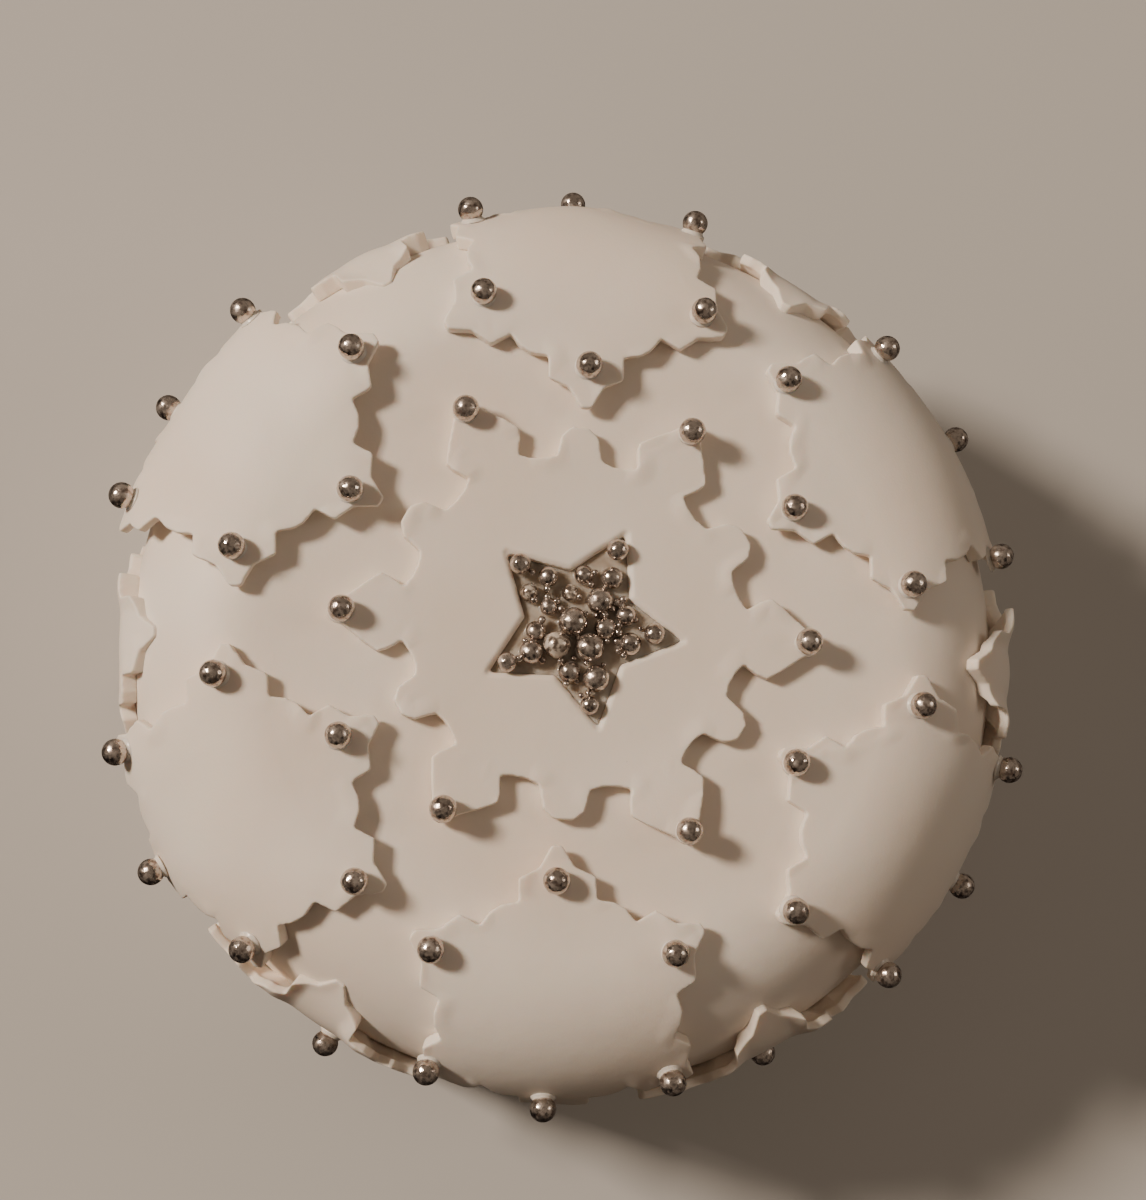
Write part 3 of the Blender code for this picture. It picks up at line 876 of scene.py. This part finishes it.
STAR_BEADS = (
    (-11.3, 11.9), (-7.7, 8.2), (-7.7, 6.4), (-11.2, 8.9), (-10.8, 5.6), (-5.5, 5.5), (2.4, 9.3),
    (3.3, 12.2), (5.4, 8.4), (-0.4, 6.5), (9.3, 4.7), (1.2, 2.8), (3.8, 2.3), (5.6, 2.4),
    (7.2, 3.8), (8.1, 5.3), (12.8, 1.4), (9.0, 0.0), (8.7, -1.7), (6.1, -3.6), (-0.6, -2.9),
    (-4.1, -1.8), (-9.0, 1.0), (-8.0, -2.7), (-10.9, -4.0), (-8.9, -8.3), (-14.2, -8.0), (-4.6, -8.3),
    (-1.6, -7.6), (-0.8, -13.0), (-3.4, -13.7), (1.2, -8.9), (1.7, -15.8), (5.3, -9.1), (0.0, -16.4),
    (8.4, -3.6), (8.6, -6.0), (9.9, 6.0), (13.9, -0.6), (-4.5, 3.6), (-12.9, -3.9), (9.9, -7.1),
)
print("in the star:", len(STAR_BALLS), "balls,", len(WORN_BALLS), "worn ones and", len(STAR_BEADS), "beads")

# %% Fill the star
BEAD_SIZES = (0.6, 0.95)
BEAD_HEIGHTS = (2.0, 3.6)
BALL_RISE = 0.15 * MM
WALL_PASSES = 4
POOL_BOTTOM = -0.5 * MM
POOL_DEPTH = 1.3 * MM
POOL_GROW = 0.3 * MM
POOL_TILT = (0.045, -0.02)
POOL_VOXEL = 0.35 * MM
POOL_SOFTENING = 4
CLIMB_FOOT = 1.05
CLIMB_TOP = 0.85
CLIMB_DEPTH = 1.6 * MM
CLIMB_MIDDLE = 1.1 * MM
CLIMB_SEGMENTS = 24


def clear_of_walls(place, radius):
    """Move a ball away from the star's walls, until it just clears them."""
    walls = [Vector(corner) for corner in star_corners()]
    spot = place.copy()
    for _ in range(WALL_PASSES):
        for start, end in zip(walls, walls[1:] + walls[:1]):
            share = min(max((spot - start).dot(end - start) / (end - start).length_squared, 0), 1)
            away = spot - start.lerp(end, share)
            if away.length < radius + GAP:
                spot += away.normalized() * (radius + GAP - away.length)
    return spot


pool = stamped("star_glaze", star_corners(POOL_GROW), POOL_BOTTOM, POOL_DEPTH, STAR_CUT_ROUND)
pool_bm = bmesh.new()
pool_bm.from_mesh(pool.data)
pearl_bm = bmesh.new()
floor_height = CAKE_HEIGHT + GAP
for group, target in ((STAR_BALLS, silver_bm), (WORN_BALLS, pearl_bm)):
    for x, y, radius, rise in group:
        size = radius * MM
        spot = Vector((STAR_PLACE[0] + x * MM, STAR_PLACE[1] + y * MM))
        if not rise:
            spot = clear_of_walls(spot, size)
        place = Matrix.Translation((spot.x, spot.y, floor_height + size + BALL_RISE + rise * MM))
        add_copy(target, ball_mesh, place @ turned(UP) @ unround(size))
        bmesh.ops.create_cone(pool_bm, cap_ends=True, segments=CLIMB_SEGMENTS, radius1=size * CLIMB_FOOT,
                              radius2=size * CLIMB_TOP, depth=CLIMB_DEPTH,
                              matrix=Matrix.Translation((spot.x, spot.y, CLIMB_MIDDLE)))
for x, y in STAR_BEADS:
    size = draw.uniform(*BEAD_SIZES) * MM
    level = floor_height + draw.uniform(*BEAD_HEIGHTS) * MM
    place = Matrix.Translation((STAR_PLACE[0] + x * MM, STAR_PLACE[1] + y * MM, level))
    add_copy(silver_bm, bead_mesh, place @ unround(size))
pool_bm.to_mesh(pool.data)
pool_bm.free()
soften(pool, POOL_VOXEL, POOL_SOFTENING)
wet = vertex_array(pool.data)
tilt = wet[:, 0] * POOL_TILT[0] + wet[:, 1] * POOL_TILT[1]
wet[:, 2] += floor_height + tilt * smooth_step(wet[:, 2], 0, POOL_DEPTH)
set_vertices(pool.data, wet)
finish_piece(pool, glaze, "glaze", "star_filling")
finish_piece(object_from("pearl_balls", pearl_bm), pearl, "pearl_ball")
finish_piece(object_from("silver_balls", silver_bm), silver, "silver_ball")
finish_piece(object_from("ball_dabs", dab_bm), dab_icing, "icing")
for mesh in (ball_mesh, bead_mesh, dab_mesh):
    bpy.data.meshes.remove(mesh)

# %% [markdown]
# ## Four dark specks
#
# The real cake has a few tiny dark crumbs on its white paste. Each is a small lump, pressed a little flat.

# %% Drop the specks
SPECKS = ((18.6, 42.7), (33.0, 20.5), (10.9, -30.1), (-64.0, -23.5))
SPECK_LENGTHS = (0.22, 0.36)
SPECK_WIDTHS = (0.16, 0.24)
SPECK_HEIGHT = 0.14 * MM
LARGE_FLAKE_EDGE = 50
speck_bm = bmesh.new()
for x, y in SPECKS:
    apart = math.hypot(x, y)
    offset = GAP + SHEET if apart < LARGE_FLAKE_EDGE else 0.0
    laid, _ = points_on(np.array([math.atan2(y, x)]), np.array([apart * MM]), np.array([offset]))
    length = draw.uniform(*SPECK_LENGTHS) * MM
    width = draw.uniform(*SPECK_WIDTHS) * MM
    spin = Matrix.Rotation(draw.uniform(0, math.tau), 4, "Z")
    place = Matrix.Translation(laid[0]) @ spin @ Matrix.Diagonal((length, width, SPECK_HEIGHT, 1))
    bmesh.ops.create_icosphere(speck_bm, subdivisions=2, radius=1.0, matrix=place)
finish_piece(object_from("specks", speck_bm), crumb, "icing")

# %% [markdown]
# ## Floor, light and camera
#
# The floor and the wall round it are plain and pale. They only stand behind the cake in the picture: they
# throw no light back and show in no ball, so the low side of the cake keeps its deep shade.

# %% Lay the floor and stand the wall
FLOOR_HALF = 3.0
WALL_RADIUS = 2.9
WALL_HEIGHT = 6.0
WALL_SEGMENTS = 128
CARD_DARK = (0.50, 0.485, 0.46, 1)
CARD_LIGHT = (0.53, 0.515, 0.49, 1)

floor_bm = bmesh.new()
bmesh.ops.create_grid(floor_bm, x_segments=1, y_segments=1, size=FLOOR_HALF)
wall_bm = bmesh.new()
bmesh.ops.create_cone(wall_bm, cap_ends=False, segments=WALL_SEGMENTS, radius1=WALL_RADIUS,
                      radius2=WALL_RADIUS, depth=WALL_HEIGHT,
                      matrix=Matrix.Translation((0, 0, WALL_HEIGHT / 2)))
bmesh.ops.reverse_faces(wall_bm, faces=wall_bm.faces[:])
card = Nodes(bpy.data.materials.new("card"))
pale_card = card.close({
    "Base Color": card.blend(card.noise(scale=6), CARD_DARK, CARD_LIGHT),
    "Roughness": 0.9,
})
for stage_piece in (object_from("floor", floor_bm), object_from("wall", wall_bm)):
    stage_piece.data.materials.append(pale_card)
    stage_piece.data.shade_smooth()
    stage_piece.visible_diffuse = False
    stage_piece.visible_glossy = False
    stage_piece.visible_shadow = False
    print(stage_piece.name, "is staged")

# %% [markdown]
# One small soft light stands low on the left, which gives each ball and each cut edge its long shadow. A
# wide, weak one on the right gives the balls a second, fainter spark, and the room itself fills in the
# shadows.

# %% Set the lights
def add_panel(name, bearing, elevation, distance, width, watts, colour):
    """A square light that looks at the cake's top, from a bearing and an elevation in degrees."""
    light = bpy.data.lights.new(name, "AREA")
    light.size = width
    light.energy = watts
    light.color = colour
    panel = bpy.data.objects.new(name, light)
    bpy.context.scene.collection.objects.link(panel)
    around = math.radians(bearing)
    up = math.radians(elevation)
    away = Vector((math.cos(up) * math.cos(around), math.cos(up) * math.sin(around), math.sin(up)))
    panel.location = away * distance + UP * CAKE_HEIGHT
    panel.rotation_euler = away.to_track_quat("Z", "Y").to_euler()
    print(name, "light:", watts, "W from", bearing, "degrees round and", elevation, "up")


add_panel("key", bearing=158, elevation=36, distance=4.0, width=0.65, watts=205, colour=(1.0, 0.84, 0.70))
add_panel("window", bearing=8, elevation=32, distance=4.0, width=1.3, watts=17, colour=(1.0, 0.86, 0.72))

# %% [markdown]
# The balls mirror the whole room, so the room isn't one even colour. A broad noise makes patches, and the
# direction itself is added to it: the room is lighter overhead and behind, and dark below the horizon. The
# direction's height multiplied by itself takes a little away straight overhead, where the camera stands.

# %% Fill the room
ROOM_DARK = (0.075, 0.057, 0.049, 1)
ROOM_LIGHT = (0.96, 0.77, 0.60, 1)
ROOM_SLANT = (0.03, 0.10, 0.08)
OVERHEAD_DIP = -0.04
ROOM_STRENGTH = 0.228
world = bpy.data.worlds.new("room")
bpy.context.scene.world = world
room = Nodes(world)
direction = room.coordinates("Generated")
patches = room.noise(scale=2.4, kind="Generated")
slant = room.node("ShaderNodeVectorMath", {0: direction, 1: ROOM_SLANT}, output="Value",
                  operation="DOT_PRODUCT")
level = room.node("ShaderNodeSeparateXYZ", {"Vector": direction}, output="Z")
share = room.mask(patches + slant + level * level * OVERHEAD_DIP, low=0.40, high=0.58)
colour = room.blend(share, ROOM_DARK, ROOM_LIGHT)
backdrop = room.node("ShaderNodeBackground", {"Color": colour, "Strength": ROOM_STRENGTH})
room.node("ShaderNodeOutputWorld", {"Surface": backdrop})
print("the room is painted with", len(world.node_tree.nodes), "nodes")

# %% [markdown]
# The camera looks down on the cake from half a metre above its top, tilted a little, as the photograph
# does.

# %% Place the camera
LENS = 70.4
SENSOR_HEIGHT = 36
CAMERA_PLACE = (-51.7 * MM, -72.7 * MM, CAKE_HEIGHT + 534.4 * MM)
CAMERA_TILT = (math.radians(8.5), math.radians(-5.4), 0)
view = bpy.data.cameras.new("camera")
view.sensor_fit = "VERTICAL"
view.sensor_height = SENSOR_HEIGHT
view.lens = LENS
camera = bpy.data.objects.new("camera", view)
camera.location = CAMERA_PLACE
camera.rotation_euler = CAMERA_TILT
bpy.context.scene.collection.objects.link(camera)
bpy.context.scene.camera = camera
print("the camera is", round(camera.location.z, 3), "m above the floor")
